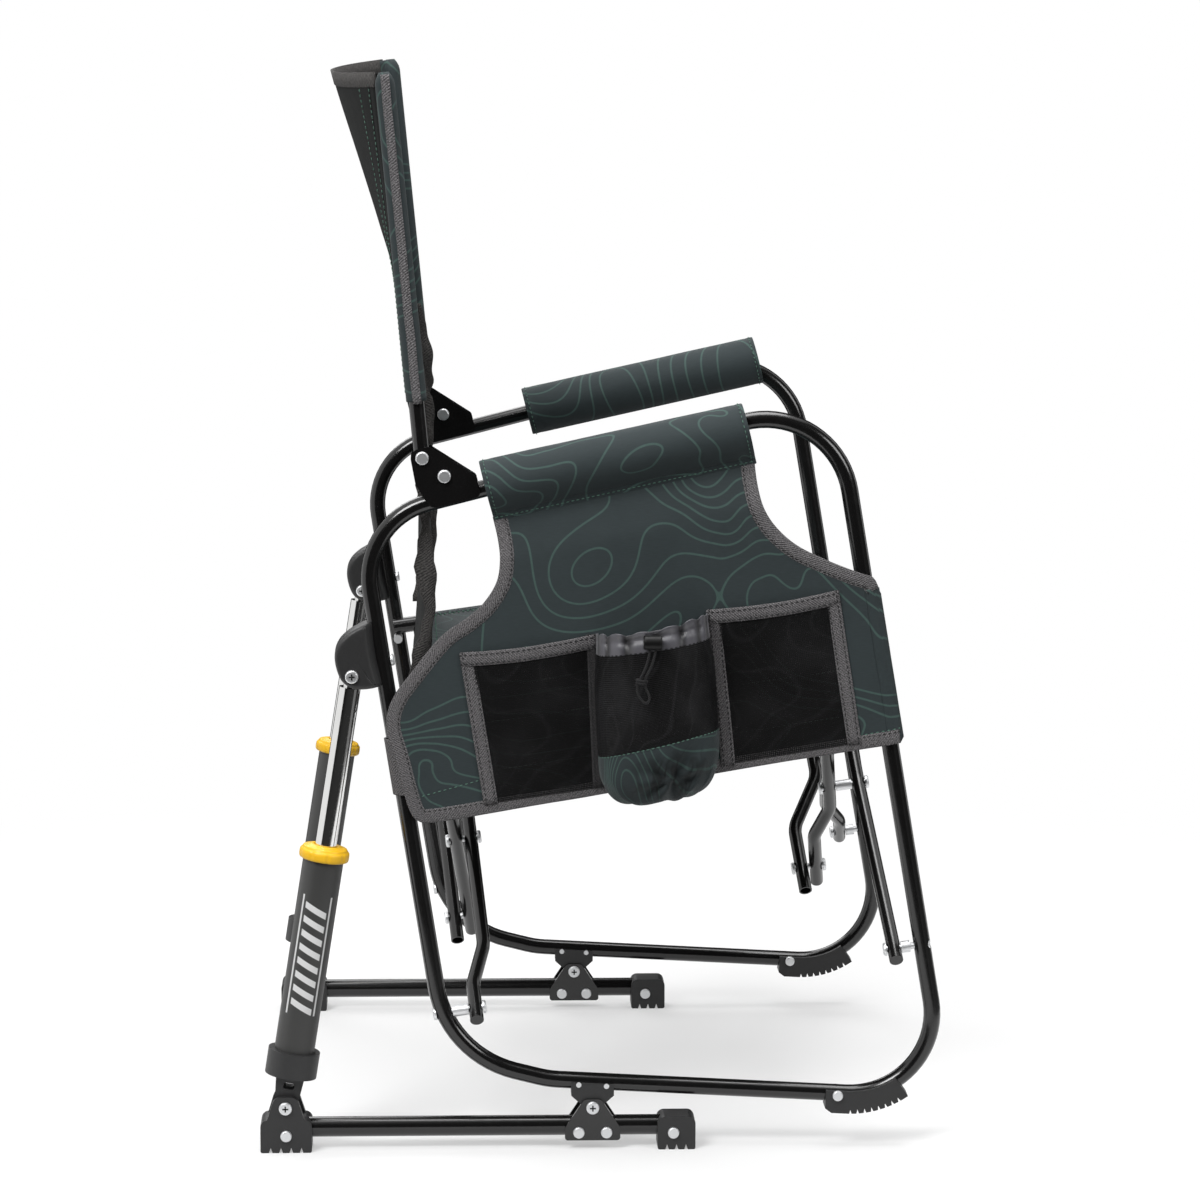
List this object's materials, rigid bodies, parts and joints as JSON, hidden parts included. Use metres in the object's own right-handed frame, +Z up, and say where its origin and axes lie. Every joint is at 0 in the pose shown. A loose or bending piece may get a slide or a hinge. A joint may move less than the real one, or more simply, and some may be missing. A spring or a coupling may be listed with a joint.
{
  "type": "folding rocking camp chair",
  "caption": "Folding camp rocker: tubular side loops pivoting on sprung-piston bases, scissor cross frame with lifting seat rails, fold-down cloth back, pocketed side panel.",
  "frame": {"origin": "bottom centre of the open chair's box, on the ground", "axes": "+X to the front, +Y to the sitter's left, +Z up"},
  "size_m": [0.6384, 0.6735, 1.0043],
  "materials": {
    "black_steel": "satin black powder coat",
    "charcoal_plastic": "fine-grained charcoal moulding",
    "barrel_plastic": "satin charcoal tube",
    "amber_plastic": "amber moulded ring",
    "chrome": "polished rod",
    "zinc": "zinc plated fastener",
    "spring_steel": "oiled spring wire",
    "rubber": "moulded rubber",
    "green_cloth": "slate green polyester with tonal contour lines",
    "mesh": "black net",
    "cord": "braided cord"
  },
  "bodies": {
    "right_base": {"right_base_rail": "black_steel", "right_rear_foot": "charcoal_plastic", "right_front_foot": "charcoal_plastic", "right_hinge_bracket": "black_steel", "right_base_bolts": "zinc"},
    "right_frame": {"right_loop": "black_steel", "right_saddle": "black_steel", "right_skid": "rubber", "right_piston_housing": "charcoal_plastic", "right_back_bracket": "black_steel", "right_frame_bolts": "zinc", "right_arm_sleeve": "green_cloth", "back_curtain": "green_cloth", "side_panel": "green_cloth", "rear_mesh_pocket": "mesh", "front_mesh_pocket": "mesh", "drink_holder": "green_cloth", "cord_lock": "charcoal_plastic", "draw_cord": "cord"},
    "right_cylinder": {"right_cylinder": "barrel_plastic", "right_gland_ring": "amber_plastic", "right_knuckle": "charcoal_plastic", "right_coil_spring": "spring_steel"},
    "right_rod": {"right_piston_rod": "chrome"},
    "front_bar_a": {"front_bar_a": "black_steel", "front_crown_pin": "zinc"},
    "rear_bar_a": {"rear_bar_a": "black_steel", "rear_crown_pin": "zinc"},
    "front_bar_b": {"front_bar_b": "black_steel"},
    "rear_bar_b": {"rear_bar_b": "black_steel"},
    "right_struts": {"right_front_strut": "black_steel", "right_rear_strut": "black_steel", "right_seat_rail": "black_steel", "right_strut_pins": "zinc"},
    "left_struts": {"left_front_strut": "black_steel", "left_rear_strut": "black_steel", "left_seat_rail": "black_steel", "left_strut_pins": "zinc"},
    "seat": {"seat_sling": "green_cloth"},
    "left_frame": {"left_loop": "black_steel", "left_saddle": "black_steel", "left_skid": "rubber", "left_piston_housing": "charcoal_plastic", "left_back_bracket": "black_steel", "left_frame_bolts": "zinc", "left_arm_sleeve": "green_cloth"},
    "left_base": {"left_base_rail": "black_steel", "left_rear_foot": "charcoal_plastic", "left_front_foot": "charcoal_plastic", "left_hinge_bracket": "black_steel", "left_base_bolts": "zinc"},
    "left_cylinder": {"left_cylinder": "barrel_plastic", "left_gland_ring": "amber_plastic", "left_knuckle": "charcoal_plastic", "left_coil_spring": "spring_steel"},
    "left_rod": {"left_piston_rod": "chrome"},
    "right_back": {"right_back_pole": "black_steel", "back_sling": "green_cloth"},
    "left_back": {"left_back_pole": "black_steel"}
  },
  "joints": [
    {"name": "rock", "type": "hinge", "parent": "right_base", "child": "right_frame", "pos_m": [-0.00822, -0.24775, 0.04], "axis": [0, -1, 0], "range_deg": [-7, 12], "stiffness_Nm_per_rad": 300},
    {"name": "right_cylinder_swing", "type": "hinge", "parent": "right_base", "child": "right_cylinder", "pos_m": [-0.29562, -0.24775, 0.0427], "axis": [0, -1, 0], "range_deg": [-6.6, 11.2]},
    {"name": "right_rod_slide", "type": "slide", "parent": "right_cylinder", "child": "right_rod", "axis": [0.155, 0, 0.9879], "range_m": [-0.05999, 0.03512], "stiffness_N_per_m": 2400, "deforming": ["right_coil_spring"]},
    {"name": "fold", "type": "hinge", "parent": "right_frame", "child": "front_bar_a", "pos_m": [0.2744, -0.24775, 0.18854], "axis": [0.9904, 0, 0.1385], "range_deg": [0, 38], "deforming": ["seat_sling", "back_sling", "back_curtain"]},
    {"name": "rear_bar_fold", "type": "hinge", "parent": "right_frame", "child": "rear_bar_a", "pos_m": [-0.1178, -0.24775, 0.13372], "axis": [0.9904, 0, 0.1385], "range_deg": [-0.1, 38.1]},
    {"name": "front_crown", "type": "hinge", "parent": "front_bar_a", "child": "front_bar_b", "pos_m": [0.24377, 0.03225, 0.40767], "axis": [0.9904, 0, 0.1385], "range_deg": [-76.1, 0.1]},
    {"name": "rear_crown", "type": "hinge", "parent": "rear_bar_a", "child": "rear_bar_b", "pos_m": [-0.14843, 0.03225, 0.35284], "axis": [0.9904, 0, 0.1385], "range_deg": [-76.1, 0.1]},
    {"name": "right_strut_swing", "type": "hinge", "parent": "front_bar_a", "child": "right_struts", "pos_m": [0.25714, -0.06475, 0.31197], "axis": [0.9904, 0, 0.1385], "range_deg": [-76.1, 0.1]},
    {"name": "left_strut_swing", "type": "hinge", "parent": "front_bar_b", "child": "left_struts", "pos_m": [0.25714, 0.12925, 0.31197], "axis": [0.9904, 0, 0.1385], "range_deg": [-0.1, 76.1]},
    {"name": "left_frame_swing", "type": "hinge", "parent": "front_bar_b", "child": "left_frame", "pos_m": [0.2744, 0.31225, 0.18854], "axis": [0.9904, 0, 0.1385], "range_deg": [-0.1, 38.1]},
    {"name": "seat_turn", "type": "hinge", "parent": "right_struts", "child": "seat", "pos_m": [-0.1864, -0.22875, 0.41493], "axis": [0.9904, 0, 0.1385], "range_deg": [-0.1, 38.1]},
    {"name": "left_rock", "type": "hinge", "parent": "left_frame", "child": "left_base", "pos_m": [-0.00822, 0.31225, 0.04], "axis": [0, -1, 0], "range_deg": [-12.1, 7.1]},
    {"name": "left_cylinder_swing", "type": "hinge", "parent": "left_base", "child": "left_cylinder", "pos_m": [-0.29562, 0.31225, 0.0427], "axis": [0, -1, 0], "range_deg": [-6.6, 11.2]},
    {"name": "left_rod_slide", "type": "slide", "parent": "left_cylinder", "child": "left_rod", "axis": [0.155, 0, 0.9879], "range_m": [-0.05999, 0.03512], "stiffness_N_per_m": 2400, "deforming": ["left_coil_spring"]},
    {"name": "back_fold", "type": "hinge", "parent": "right_frame", "child": "right_back", "pos_m": [-0.16622, -0.24775, 0.6525], "axis": [0, 1, 0], "range_deg": [0, 81]},
    {"name": "left_back_fold", "type": "hinge", "parent": "left_frame", "child": "left_back", "pos_m": [-0.16622, 0.31225, 0.6525], "axis": [0, 1, 0], "range_deg": [-0.1, 81.1]}
  ],
  "couplings": [
    {"joint": "right_cylinder_swing", "follows": "rock", "ratio": 0.924},
    {"joint": "right_rod_slide", "follows": "rock", "m_per_rad": -0.285},
    {"joint": "left_rock", "follows": "rock", "ratio": -1},
    {"joint": "left_cylinder_swing", "follows": "rock", "ratio": 0.924},
    {"joint": "left_rod_slide", "follows": "rock", "m_per_rad": -0.285},
    {"joint": "rear_bar_fold", "follows": "fold", "ratio": 1},
    {"joint": "front_crown", "follows": "fold", "ratio": -2},
    {"joint": "rear_crown", "follows": "fold", "ratio": -2},
    {"joint": "right_strut_swing", "follows": "fold", "ratio": -2},
    {"joint": "left_strut_swing", "follows": "fold", "ratio": 2},
    {"joint": "left_frame_swing", "follows": "fold", "ratio": 1},
    {"joint": "seat_turn", "follows": "fold", "ratio": 1},
    {"joint": "left_back_fold", "follows": "back_fold", "ratio": 1}
  ]
}
